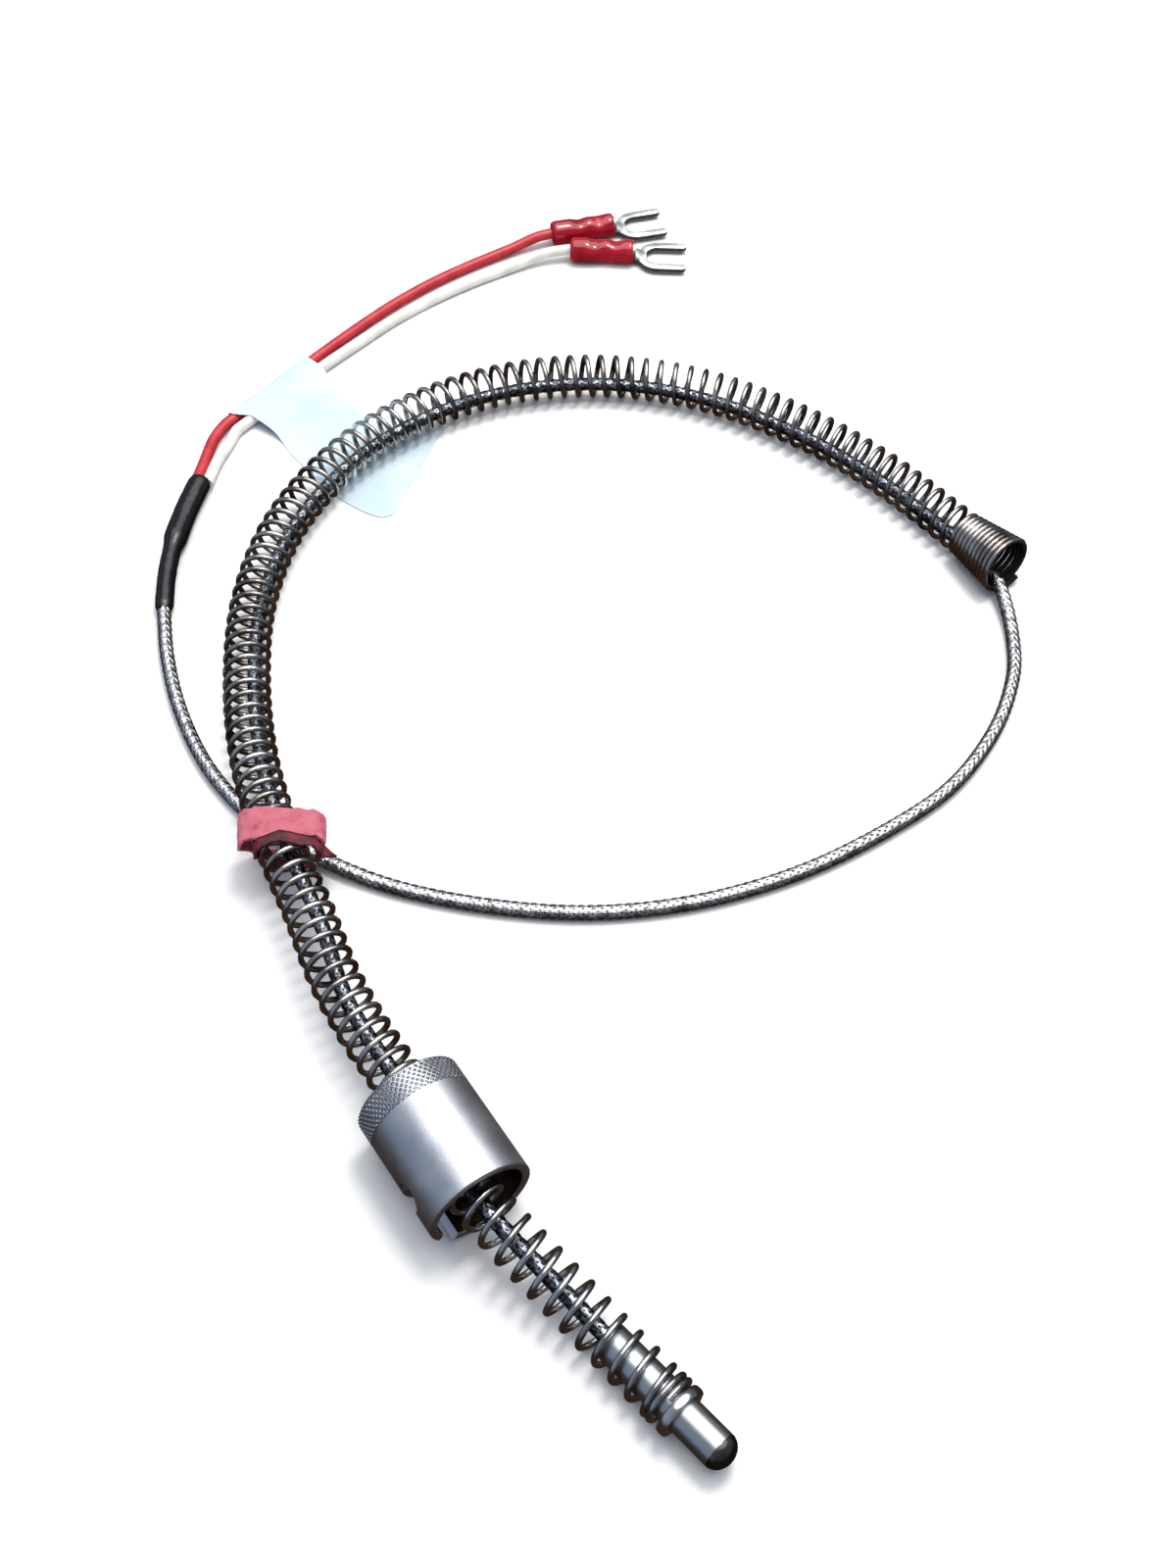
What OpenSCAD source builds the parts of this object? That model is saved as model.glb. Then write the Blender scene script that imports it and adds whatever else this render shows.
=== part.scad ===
// Bayonet temperature probe: spring-armoured cable, bayonet cap and closed stainless tip.
// Millimetres, +Z up, lying on the plane z = 0.

/* [Bayonet cap] */
// Outside diameter of the knurled band
cap_d = 14.6; // [12:0.1:18]
// Length from rear face to mouth
cap_l = 18; // [15:0.5:24]
// Bore of the open socket
cap_bore_d = 12.2; // [10:0.1:14]
// Length of the knurled band
knurl_l = 4; // [2:0.5:8]
// Width of the bayonet slot
slot_w = 3; // [2.4:0.1:4.5]
// Distance from the mouth to the middle of the slot's locking seat
slot_seat = 5.2; // [4:0.1:7]

/* [Armour spring] */
// Wire diameter of the armour spring
wire_d = 0.85; // [0.6:0.05:1.2]
// Outside diameter of the armour spring
spring_d = 7.2; // [6:0.1:9]
// Pitch of the coils behind the cap
pitch_rear = 2.5; // [2:0.1:4]
// Pitch of the coils in front of the cap
pitch_front = 2.75; // [2:0.05:4]
// Outside diameter of the flared rear end
flare_d = 9.8; // [7.5:0.1:12]

/* [Probe tip] */
// Outside diameter of the closed tube
tube_d = 4.76; // [3:0.01:6.4]
// Length of the closed tube
tube_l = 20; // [15:0.5:40]
// Length of tube left bare in front of the stop collar
bare_l = 7.5; // [5:0.5:20]

/* [Cable and leads] */
// Outside diameter of the braided cable
cable_d = 2.2; // [1.5:0.1:4]
// Outside diameter of each insulated lead
lead_d = 1.9; // [1:0.1:2.5]

/* [Fork terminals] */
// Width of the fork's throat
throat_w = 4.3; // [3.2:0.1:5.3]
// Width over both prongs
fork_w = 7.2; // [5:0.1:9]
// Whole length of a terminal with its sleeve
term_l = 21; // [17:0.5:26]
// Thickness of the terminal's sheet
fork_t = 0.8; // [0.5:0.1:1]
// Outside diameter of the vinyl sleeve
vinyl_d = 4.3; // [3.5:0.1:5]
// Length of the vinyl sleeve
vinyl_l = 11.4; // [9:0.1:13]

/* [Hidden] */
$fn = 48;

steel = [0.72, 0.73, 0.75];
cap_at = [-20, -61.5, 7.3];
cap_az = -56;
cap_dir = [cos(cap_az), sin(cap_az), 0];
tip_at = [9.4, -91.2, 3.6];
tip_az = -45.5;
tip_dir = [cos(tip_az), sin(tip_az), 0];
wall_l = 3;
hole_r = spring_d / 2 + 0.25;
coil_r = (spring_d - wire_d) / 2;
straight_l = 10;

// Centre line of the armour spring, from the middle of the cap back to the flared end
rear_pts = [cap_at - 9 * cap_dir, cap_at - 16 * cap_dir, cap_at - 23 * cap_dir,
    cap_at - 29 * cap_dir, [-40.6, -29.6, 7.2], [-44.6, -20, 6.9], [-50, -8, 6.6],
    [-54.8, 6, 5.6], [-57.8, 22, 4.1], [-58.3, 38, 3.9], [-54.8, 54, 3.9], [-46, 69, 4],
    [-33.5, 79.8, 4], [-19, 86, 3.9], [-3, 87.5, 3.75], [13, 84, 3.7], [28, 75.8, 3.7],
    [40.5, 65.4, 3.7], [51.5, 52.7, 3.9], [58.1, 43.7, 5]];
// Centre line from the middle of the cap forward to the close turns on the tube
front_pts = [cap_at - 9 * cap_dir, cap_at - 4 * cap_dir, cap_at, [-16.7, -65.2, 6.9],
    [-13.2, -68.6, 5.9], [-9.8, -71.8, 4.8], [-6.4, -75.1, 3.9], tip_at - 17 * tip_dir,
    tip_at - 11 * tip_dir, tip_at - 9.5 * tip_dir];
// Centre line of the free braided cable, from the flared end to the black sleeve
cable_pts = [[56.9, 42.8, 2.6], [57.7, 39.5, 1.9], [58.2, 33, 1.15], [57.3, 25, 1.15],
    [53.3, 15, 1.15], [46, 5, 1.15], [36.3, -2.5, 1.15], [23.3, -9.8, 1.15],
    [9.3, -14.6, 1.15], [-5, -16.6, 1.15], [-19, -15.8, 1.15], [-33, -12.8, 1.15],
    [-43.5, -8.5, 1.4], [-49.5, -4.5, 1.45], [-56.5, 0.8, 1.2], [-62.8, 8.6, 1.15],
    [-67.8, 18.5, 1.15], [-71, 28.5, 1.3], [-72.7, 37.7, 1.5]];
// Centre line of the black sleeve
sleeve_pts = [[-72.7, 37.7, 1.5], [-73.1, 45, 1.75], [-72.8, 51, 1.95], [-71.8, 58, 1.95],
    [-70.2, 65, 1.95]];
// Centre line of each lead
red_pts = [[-71, 64.9, 1.75], [-70.3, 69, 1.5], [-69.4, 75, 1.2], [-67.9, 78.6, 1.15],
    [-66.7, 80.1, 1.15], [-60.8, 87.1, 1.15], [-55, 93.8, 1.15], [-48.4, 101.4, 1.1],
    [-41.8, 108.5, 1], [-35, 114.5, 1], [-28, 119.5, 1], [-21, 123.6, 1.3], [-16.5, 125.8, 2.1],
    [-13.6, 126.8, 2.2]];
white_pts = [[-69.1, 64.5, 1.75], [-68.1, 70, 1.4], [-66.8, 74, 1.2], [-65.8, 77.2, 1.15],
    [-64.7, 78.6, 1.15], [-59, 85.4, 1.15], [-53.2, 92.2, 1.15], [-47.1, 98.7, 1.1], [-41, 105, 1],
    [-34.6, 110.3, 1], [-28, 114.8, 1], [-21, 118.8, 1.05], [-15.2, 121.4, 1.9],
    [-10.2, 122.4, 2.2]];

function curve(a, b, c, d, t) = 0.5 * (2 * b + (c - a) * t
    + (2 * a - 5 * b + 4 * c - d) * t * t + (3 * b - a - 3 * c + d) * t * t * t);
function route(p, m) = [for (i = [0:len(p) - 2]) for (k = [0:m - 1])
    curve(p[max(i - 1, 0)], p[i], p[i + 1], p[min(i + 2, len(p) - 1)], k / m), p[len(p) - 1]];
function dist(p) = [for (s = 0, i = 0; i < len(p);
    s = s + (i + 1 < len(p) ? norm(p[i + 1] - p[i]) : 0), i = i + 1) s];
function table(p, d, k) = [for (i = [0:len(p) - 1]) [d[i], p[i][k]]];
function unit(v) = v / norm(v);
// Three look-up tables and the whole length of a route
function track(pts) = let (p = route(pts, 10), d = dist(p))
    [table(p, d, 0), table(p, d, 1), table(p, d, 2), d[len(d) - 1]];
function at(k, s) = [lookup(s, k[0]), lookup(s, k[1]), lookup(s, k[2])];
function along(k, s) = unit(at(k, min(s + 0.6, k[3])) - at(k, max(s - 0.6, 0)));
function left(t) = unit(cross([0, 0, 1], t));

// Closed skin over a list of rings that all have n points
module skin(rings, n) {
    m = len(rings);
    polyhedron(points = [for (r = rings) each r],
        faces = [[for (i = [n - 1:-1:0]) i], [for (i = [0:n - 1]) (m - 1) * n + i],
            for (j = [0:m - 2]) for (i = [0:n - 1])
                let (a = j * n + i, b = j * n + (i + 1) % n) each
                    [[a, b, b + n], [a, b + n, a + n]]]);
}

// Plain tube along a list of points
function tube_rings(p, r, n) = [for (i = [0:len(p) - 1])
    let (t = unit(p[min(i + 1, len(p) - 1)] - p[max(i - 1, 0)]), l = left(t), u = cross(t, l))
        [for (k = [0:n - 1]) p[i] + r * (cos(360 * (k + 0.5) / n) * l + sin(360 * (k + 0.5) / n) * u)]];
module tube(p, r, n) {
    skin(tube_rings(p, r, n), n);
}
function spaced(k, a, b, n) = [for (i = [0:n]) at(k, a + (b - a) * i / n)];

// Coil centre at distance s, turned by ph, on radius r
function coil_pt(k, s, ph, r) = let (t = along(k, s), l = left(t), u = cross(t, l))
    at(k, s) + r * (cos(ph) * l + sin(ph) * u);
// Wire of a coil: w is a list of [distance, angle, radius]
module wire(k, w, n = 5) {
    c = [for (q = w) coil_pt(k, q[0], q[1], q[2])];
    skin([for (i = [0:len(c) - 1])
        let (t = unit(c[min(i + 1, len(c) - 1)] - c[max(i - 1, 0)]),
            e = unit(c[i] - at(k, w[i][0])), f = unit(cross(t, e)), g = cross(f, t))
            [for (j = [0:n - 1]) c[i] + wire_d / 2 * (cos(360 * j / n) * g + sin(360 * j / n) * f)]], n);
}

rear = track(rear_pts);
front = track(front_pts);
cord = track(cable_pts);
step = 40;
flare_turns = 10.6;
flare_pitch = 0.9;
open_l = rear[3] - flare_turns * flare_pitch;
close_turns = 1.9;
front_open = front[3] - close_turns * flare_pitch;

// Distance along the spring after t turns, behind and in front of the split
function rear_s(t) = t * pitch_rear;
front_turns = straight_l / pitch_rear + (front_open - straight_l) / pitch_front;
function front_s(t) = t * pitch_rear < straight_l ? t * pitch_rear
    : t < front_turns ? straight_l + (t - straight_l / pitch_rear) * pitch_front
    : front_open + (t - front_turns) * flare_pitch;

module at_cap() {
    translate(cap_at) rotate([0, 90, cap_az]) children();
}
module at_tip() {
    translate(tip_at) rotate([0, 90, tip_az]) children();
}

// Turned cap: open socket in front, wall behind with a hole for the spring and two coil pips
module bayonet_cap() {
    r = cap_d / 2;
    color([0.75, 0.76, 0.78]) at_cap() {
        difference() {
            rotate_extrude() polygon([[cap_bore_d / 2, 0], [r - 0.3, 0], [r - 0.1, -0.2],
                [r - 0.1, -cap_l + knurl_l], [r, -cap_l + knurl_l - 0.1], [r, -cap_l + 1.1],
                [r - 0.3, -cap_l + 0.5], [r - 1, -cap_l], [hole_r, -cap_l],
                [hole_r, -cap_l + wall_l], [cap_bore_d / 2, -cap_l + wall_l]]);
            rotate([0, 0, -50]) translate([5, -slot_w / 2, -slot_seat - 0.9])
                cube([4, slot_w, 12]);
            rotate([0, 0, -94]) rotate_extrude(angle = 50) translate([5, -slot_seat - 1.7])
                square([4, slot_w]);
            rotate([0, 0, -94]) translate([5, 0, -slot_seat]) rotate([0, 90, 0])
                cylinder(d = slot_w + 1.2, h = 4);
        }
        translate([0, 0, -cap_l + 2.125]) rotate([0, -90, 0]) translate([0, 0, 3])
            cylinder(d = 0.9, h = 1.3);
        translate([0, 0, -cap_l + 0.875]) rotate([0, 90, 0]) translate([0, 0, 3])
            cylinder(d = 0.9, h = 1.3);
    }
}

// Plain ring that backs the cap's wall and carries the spring's push
module thrust_ring() {
    color([0.6, 0.6, 0.62]) at_cap() translate([0, 0, -cap_l + wall_l + 0.1])
        difference() {
            cylinder(r = cap_bore_d / 2 - 0.3, h = 0.8);
            translate([0, 0, -1]) cylinder(r = hole_r + 0.05, h = 3);
        }
}

// Armour spring behind the split: open stretches, then close flared turns
module rear_spring() {
    turns = open_l / pitch_rear;
    parts = 10;
    per = floor(turns / parts * 9) / 9;
    color([0.5, 0.5, 0.52]) {
        for (j = [0:parts - 1]) {
            a = j * per + 0.03;
            b = j == parts - 1 ? turns - 0.03 : (j + 1) * per;
            n = round((b - a) * 9);
            wire(rear, [for (i = [0:n]) let (t = a + (b - a) * i / n)
                [rear_s(t), 360 * t, coil_r]]);
        }
        wire(rear, [for (i = [0:flare_turns * 9]) let (t = i / 9)
            [open_l + t * flare_pitch, 360 * (turns + t),
                coil_r + (flare_d - spring_d) / 2 * t / flare_turns]]);
    }
}

// Armour spring in front of the split, with close turns that grip the tube
module front_spring() {
    n = round((front_turns + close_turns) * 9);
    color([0.8, 0.8, 0.82]) wire(front, [for (i = [0:n])
        let (t = (front_turns + close_turns) * i / n) [front_s(t), 180 + 360 * t, coil_r]]);
}

// Drawn tube with a domed closed nose and a shallow seat turned for the collar
seat_cut = 0.2;
module probe_tube() {
    r = tube_d / 2;
    color([0.78, 0.79, 0.81]) at_tip() rotate_extrude() polygon([
        for (i = [0:8]) let (q = 90 * i / 8) [r * sin(q), -2 + 2 * cos(q)],
        [r, -bare_l + 0.02], [r - seat_cut, -bare_l + 0.02], [r - seat_cut, -bare_l - 1.42],
        [r, -bare_l - 1.42], [r, -tube_l + 0.2], [r - 0.2, -tube_l], [r - 0.6, -tube_l],
        [r - 0.6, -2.4], [r - 1.4, -1.2], [0, -1.2]]);
}

// Plain collar brazed in that seat, in front of the close turns
module stop_collar() {
    r = tube_d / 2 - seat_cut + 0.02;
    color([0.74, 0.75, 0.77]) at_tip() rotate_extrude() polygon([[r, -bare_l], [3.2, -bare_l],
        [3.5, -bare_l - 0.3], [3.5, -bare_l - 1.2], [3.3, -bare_l - 1.4], [r, -bare_l - 1.4]]);
}

// Weld bead where the two sensing wires meet
module hot_junction() {
    color([0.6, 0.55, 0.5]) at_tip() translate([0, 0, -2.2]) sphere(r = 0.7);
}

module wire_positive() {
    color([0.55, 0.55, 0.56]) at_tip() translate([0.65, 0, -15]) cylinder(d = 0.5, h = 12.05);
}

module wire_negative() {
    color([0.7, 0.6, 0.5]) at_tip() translate([-0.65, 0, -15]) cylinder(d = 0.5, h = 12.05);
}

// Two-hole insulator that keeps the sensing wires apart
module tip_insulator() {
    color([0.9, 0.88, 0.82]) at_tip() translate([0, 0, -13]) difference() {
        cylinder(r = 1.6, h = 9.8);
        for (x = [-0.65, 0.65]) translate([x, 0, -1]) cylinder(d = 0.6, h = 12);
    }
}

// Cement ring that holds the cable in the rear of the tube
module potting_plug() {
    color([0.8, 0.78, 0.7]) at_tip() translate([0, 0, -tube_l + 0.3]) difference() {
        cylinder(r = 1.75, h = 4.6);
        translate([0, 0, -1]) cylinder(r = cable_d / 2 + 0.15, h = 7);
    }
}

// Braided cable between the split and the tube
module cable_front() {
    color([0.6, 0.61, 0.63]) union() {
        p = concat([for (i = [0:8]) at(front, (front[3] - 10.5) * i / 8)],
            [tip_at - 15.3 * tip_dir]);
        tube(p, cable_d / 2, 8);
    }
}

// Braided cable inside the rear spring, lying low on the inner side of the bend
function ease(x) = let (q = max(0, min(1, x))) q * q * (3 - 2 * q);
module cable_inner() {
    n = 60;
    l = rear[3];
    p = [for (i = [0:n]) let (s = 0.05 + (l - 0.05) * i / n, t = along(rear, s), v = left(t),
        u = cross(t, v), g = ease((s - 22) / 14), h = ease((s - l + 10) / 10))
        at(rear, s) - v * (1 * g + 0.5 * h) - u * (0.9 * g + 1.4 * h)];
    color([0.6, 0.61, 0.63]) tube(concat([for (i = [0:n - 1]) p[i]], [[56.9, 42.8, 2.6]]),
        cable_d / 2, 8);
}

// Free braided cable
module lead_cable() {
    color([0.7, 0.71, 0.73]) tube(spaced(cord, 0.1, cord[3] - 0.1, 48), cable_d / 2, 8);
}

// Black shrunk sleeve: narrow over the braid, wider over the two leads
module shrink_sleeve() {
    k = track(sleeve_pts);
    color([0.08, 0.08, 0.09]) skin([for (i = [0:14]) let (s = k[3] * i / 14,
        t = along(k, s), l = left(t), u = cross(t, l),
        r = 1.45 + 0.45 * ease((s - 12) / 3))
        [for (q = [0:11]) at(k, s) + r * (cos(30 * q) * l + sin(30 * q) * u)]], 12);
}

module lead_red() {
    k = track(red_pts);
    color([0.75, 0.12, 0.15]) tube(spaced(k, 0.3, k[3], 34), lead_d / 2, 8);
}

module lead_white() {
    k = track(white_pts);
    color([0.92, 0.92, 0.88]) tube(spaced(k, 0.3, k[3], 34), lead_d / 2, 8);
}

module at_red() {
    translate([-13.6, 126.8, 2.2]) rotate([0, 0, 13]) children();
}
module at_white() {
    translate([-10.2, 122.4, 2.2]) rotate([0, 0, -3]) children();
}

// Vinyl sleeve: belled over the lead, tight over the crimped barrel
module vinyl() {
    rotate([0, 90, 0]) rotate_extrude() polygon([[1.1, 0.1], [vinyl_d / 2 - 0.3, 0.1],
        [vinyl_d / 2, 0.4], [vinyl_d / 2, vinyl_l - 0.3], [vinyl_d / 2 - 0.3, vinyl_l],
        [1.55, vinyl_l], [1.55, 5], [1.1, 4.2]]);
}
module vinyl_sleeve_red() {
    color([0.78, 0.1, 0.2]) at_red() vinyl();
}
module vinyl_sleeve_white() {
    color([0.78, 0.1, 0.2]) at_white() vinyl();
}

// Tinned terminal: rolled barrel inside the sleeve, flat fork in front
module fork() {
    c = term_l - 5.2;
    difference() {
        union() {
            translate([5.2, 0, 0]) rotate([0, 90, 0]) cylinder(d = 3, h = 6.8);
            translate([11.6, -1.3, -1.5]) cube([2.5, 2.6, fork_t]);
            translate([0, 0, -1.5]) linear_extrude(fork_t) {
                translate([c, 0]) circle(d = fork_w);
                translate([c, -fork_w / 2]) square([4.3, fork_w]);
                for (y = [-1, 1]) translate([c + 4.3, y * (fork_w + throat_w) / 4])
                    circle(d = (fork_w - throat_w) / 2, $fn = 32);
            }
        }
        translate([5, 0, 0]) rotate([0, 90, 0]) cylinder(d = 2, h = 7.5);
        translate([c, 0, -3]) cylinder(d = throat_w, h = 3);
        translate([c, -throat_w / 2, -3]) cube([8, throat_w, 3]);
    }
}
module fork_terminal_red() {
    color([0.8, 0.83, 0.8]) at_red() fork();
}
module fork_terminal_white() {
    color([0.8, 0.83, 0.8]) at_white() fork();
}

// Bared strands crimped in the barrel
module strands() {
    translate([0.2, 0, 0]) rotate([0, 90, 0]) cylinder(d = 1.1, h = 11.3);
}
module conductor_red() {
    color([0.75, 0.6, 0.5]) at_red() strands();
}
module conductor_white() {
    color([0.7, 0.7, 0.72]) at_white() strands();
}

// Paper flag folded round both leads, its two leaves stuck together on the table
module label_flag() {
    color([0.86, 0.92, 0.96]) {
        translate([-59.95, 86.15, 1.15]) rotate([0, 0, 49.8]) rotate([90, 0, 90])
            translate([0, 0, -9]) linear_extrude(18) difference() {
                hull() {
                    translate([-1.3, 0]) circle(r = 1.15, $fn = 24);
                    translate([1.3, 0]) circle(r = 1.15, $fn = 24);
                }
                hull() {
                    translate([-1.3, 0]) circle(r = 1.03, $fn = 24);
                    translate([1.3, 0]) circle(r = 1.03, $fn = 24);
                }
            }
        linear_extrude(0.22) polygon([[-64.4, 78], [-59, 75], [-53.8, 69.6], [-48, 63],
            [-42.5, 59], [-40.6, 58.4], [-39.2, 59], [-31.9, 77], [-31.9, 78], [-32.8, 78.9],
            [-38, 79.6], [-45, 82.4], [-50, 87], [-52.8, 91.7]]);
    }
}

// Rubber strip bound slantwise round the spring and the cable under it
module tie_outline(wall) {
    hull() {
        for (x = [-4.7, 4.7]) translate([x, 9.3]) circle(r = 1.6 - wall, $fn = 24);
        for (x = [-4.2, 4.2]) translate([x, 1.35]) circle(r = 1.3 - wall, $fn = 24);
    }
}
module rubber_tie() {
    color([0.75, 0.35, 0.42]) translate([-49.2, -8, 0]) rotate([0, 0, 95])
        rotate([90, 0, 90]) translate([0, 0, -2.6]) linear_extrude(5.2) difference() {
            tie_outline(0);
            tie_outline(0.45);
        }
}

bayonet_cap();
thrust_ring();
rear_spring();
front_spring();
probe_tube();
stop_collar();
hot_junction();
wire_positive();
wire_negative();
tip_insulator();
potting_plug();
cable_front();
cable_inner();
lead_cable();
shrink_sleeve();
lead_red();
lead_white();
vinyl_sleeve_red();
vinyl_sleeve_white();
fork_terminal_red();
fork_terminal_white();
conductor_red();
conductor_white();
label_flag();
rubber_tie();
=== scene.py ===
import bisect
import bmesh
import bpy
from math import atan2, ceil, copysign, cos, exp, hypot, pi, radians, sin, sqrt
from mathutils import Matrix, Vector, noise


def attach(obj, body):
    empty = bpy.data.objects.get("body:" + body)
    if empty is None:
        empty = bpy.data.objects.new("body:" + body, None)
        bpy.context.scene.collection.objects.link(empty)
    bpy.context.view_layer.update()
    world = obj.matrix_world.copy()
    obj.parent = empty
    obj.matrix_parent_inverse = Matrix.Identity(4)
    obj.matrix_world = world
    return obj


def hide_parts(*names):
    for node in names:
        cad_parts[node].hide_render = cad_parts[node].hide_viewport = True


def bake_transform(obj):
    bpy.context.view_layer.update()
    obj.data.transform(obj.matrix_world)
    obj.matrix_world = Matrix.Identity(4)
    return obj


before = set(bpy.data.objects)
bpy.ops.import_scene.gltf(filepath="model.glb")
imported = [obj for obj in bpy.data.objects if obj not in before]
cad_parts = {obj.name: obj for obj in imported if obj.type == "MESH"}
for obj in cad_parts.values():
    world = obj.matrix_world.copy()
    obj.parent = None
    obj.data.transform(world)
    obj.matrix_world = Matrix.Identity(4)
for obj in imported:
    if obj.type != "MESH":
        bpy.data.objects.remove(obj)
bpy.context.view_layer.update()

# ---------------------------------------------------------------- camera
# A phone held over the table, about a hand's length in front of the probe's tip
# and looking down at 55 degrees.
camera = bpy.data.objects.new("camera", bpy.data.cameras.new("camera"))
bpy.context.scene.collection.objects.link(camera)
bpy.context.scene.camera = camera
camera.location = (-0.007, -0.149, 0.22117)
camera.rotation_euler = (radians(35), 0, 0)
camera.data.sensor_width = 36
camera.data.lens = 42.53
camera.data.clip_start = 0.01

# ---------------------------------------------------------------- free braided cable
# Two insulated wires under one braid of bright stainless wire, 2.2 mm over all, as sold for
# thermocouples. Sixteen carriers go round it, eight each way, two over and two under. It comes
# out of the spring's flared end, crosses the table and passes under the spring.
MM = 0.001


class Run:
    """A smooth line through points given in millimetres, measured along its length."""

    def __init__(self, points, per_span=12, drawn=False):
        p = [Vector(q) * MM for q in points]
        self.points = p if drawn else []
        for i in range(0 if drawn else len(p) - 1):
            a, b, c, d = p[max(i - 1, 0)], p[i], p[i + 1], p[min(i + 2, len(p) - 1)]
            for k in range(per_span):
                t = k / per_span
                self.points.append(0.5 * (2 * b + (c - a) * t + (2 * a - 5 * b + 4 * c - d) * t * t
                                          + (3 * b - a - 3 * c + d) * t ** 3))
        if not drawn:
            self.points.append(p[-1])
        self.far = [0.0]
        for a, b in zip(self.points, self.points[1:]):
            self.far.append(self.far[-1] + (b - a).length)
        self.length = self.far[-1]

    def at(self, s):
        if s <= 0:
            return self.points[0] + (self.points[0] - self.points[1]).normalized() * -s
        if s >= self.length:
            return self.points[-1] + (self.points[-1] - self.points[-2]).normalized() * (s - self.length)
        i = min(bisect.bisect_right(self.far, s) - 1, len(self.points) - 2)
        share = (s - self.far[i]) / (self.far[i + 1] - self.far[i])
        return self.points[i].lerp(self.points[i + 1], share)

    def axes(self, s):
        """The line's direction at s, and the level and the upward direction across it."""
        along = (self.at(min(s + 0.6 * MM, self.length)) - self.at(max(s - 0.6 * MM, 0))).normalized()
        level = Vector((0, 0, 1)).cross(along).normalized()
        return along, level, along.cross(level)


def roll_up(bm, rings, sides, place, material=0):
    """Adds a grid rolled into a closed tube. place(i, k) is the point of ring i at side k."""
    made = bmesh.ops.create_grid(bm, x_segments=rings, y_segments=sides, size=1, calc_uvs=True)["verts"]
    for v in made:
        i, k = round((v.co.x + 1) / 2 * rings), round((v.co.y + 1) / 2 * sides)
        v.co = place(i, k % sides)
    faces = {f for v in made for f in v.link_faces}
    for f in faces:
        f.material_index = material
    bmesh.ops.remove_doubles(bm, verts=made, dist=1e-8)
    rim = {e for f in faces if f.is_valid for e in f.edges if e.is_boundary}
    for f in bmesh.ops.holes_fill(bm, edges=list(rim), sides=0)["faces"]:
        f.material_index = material


def new_mesh():
    bm = bmesh.new()
    bm.loops.layers.uv.new("UVMap")
    return bm


def finish_piece(name, bm, materials, body, stands_for=(), crease=40, turn=True):
    """Makes the object, smooth but for edges sharper than crease degrees, and hangs it on its body."""
    if turn:
        bmesh.ops.recalc_face_normals(bm, faces=bm.faces[:])
    for f in bm.faces:
        f.smooth = True
    for e in bm.edges:
        e.smooth = len(e.link_faces) == 2 and e.calc_face_angle(0) < radians(crease)
    mesh = bpy.data.meshes.new(name)
    bm.to_mesh(mesh)
    bm.free()
    for m in materials:
        mesh.materials.append(m)
    piece = bpy.data.objects.new(name, mesh)
    bpy.context.scene.collection.objects.link(piece)
    if body:
        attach(piece, body)
    if stands_for:
        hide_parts(*stands_for)
    return piece


def hex_colour(text):
    """A colour as a paint chart gives it, turned to linear light."""
    parts = [int(text[i:i + 2], 16) / 255 for i in (1, 3, 5)]
    return tuple(c / 12.92 if c <= 0.04045 else ((c + 0.055) / 1.055) ** 2.4 for c in parts) + (1.0,)


def add_node(tree, kind, links=None, **settings):
    """One shader node: settings are its properties, links its sockets' values or what feeds them."""
    n = tree.nodes.new("ShaderNode" + kind)
    for key, value in settings.items():
        setattr(n, key, value)
    for key, value in (links or {}).items():
        if isinstance(value, bpy.types.NodeSocket):
            tree.links.new(value, n.inputs[key])
        else:
            n.inputs[key].default_value = value
    return n


def new_material(name, colour, metallic=0.0, roughness=0.5, **sockets):
    """A named material with its shader's plain values set. Returns it, its tree and its shader."""
    m = bpy.data.materials.new(name)
    m.use_nodes = True
    shader = m.node_tree.nodes["Principled BSDF"]
    shader.inputs["Base Color"].default_value = hex_colour(colour)
    shader.inputs["Metallic"].default_value = metallic
    shader.inputs["Roughness"].default_value = roughness
    for key, value in sockets.items():
        shader.inputs[key.replace("_", " ")].default_value = value
    return m, m.node_tree, shader


def set_stops(ramp, *stops):
    """Gives a colour ramp its stops, each a position and a colour, in rising order."""
    held = ramp.color_ramp.elements
    for i, (position, colour) in enumerate(stops):
        stop = held[i] if i < 2 else held.new(position)
        stop.position, stop.color = position, hex_colour(colour)


def dress_node(node, material):
    """Gives a piece that is shown as it was designed its own material."""
    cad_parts[node].data.materials.clear()
    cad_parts[node].data.materials.append(material)


# Drawn stainless wire, five ends side by side in each carrier: bright ridges with fine dark lines.
# Each pattern's scale is given as features per millimetre.
braid_wire, tree, shader = new_material("braided_stainless_wire", "#c9c9cb", 1.0, 0.2)
uv = add_node(tree, "UVMap", uv_map="UVMap")
across = add_node(tree, "SeparateXYZ", {"Vector": uv.outputs["UV"]})
ends = add_node(tree, "Math", {0: across.outputs["Y"], 1: 2 * pi * 8}, operation="MULTIPLY")
ridges = add_node(tree, "Math", {0: ends.outputs[0]}, operation="SINE")
bump = add_node(tree, "Bump", {"Height": ridges.outputs[0], "Strength": 0.35, "Distance": 0.03 * MM})
tree.links.new(bump.outputs["Normal"], shader.inputs["Normal"])
place = add_node(tree, "TexCoord")
wear = add_node(tree, "TexNoise", {"Vector": place.outputs["Object"], "Scale": 0.9 / MM, "Detail": 2.0})
tone = add_node(tree, "ValToRGB", {"Fac": wear.outputs["Fac"]})
set_stops(tone, (0.35, "#9a9896"), (0.62, "#f0f0f2"))
tree.links.new(tone.outputs["Color"], shader.inputs["Base Color"])

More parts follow.
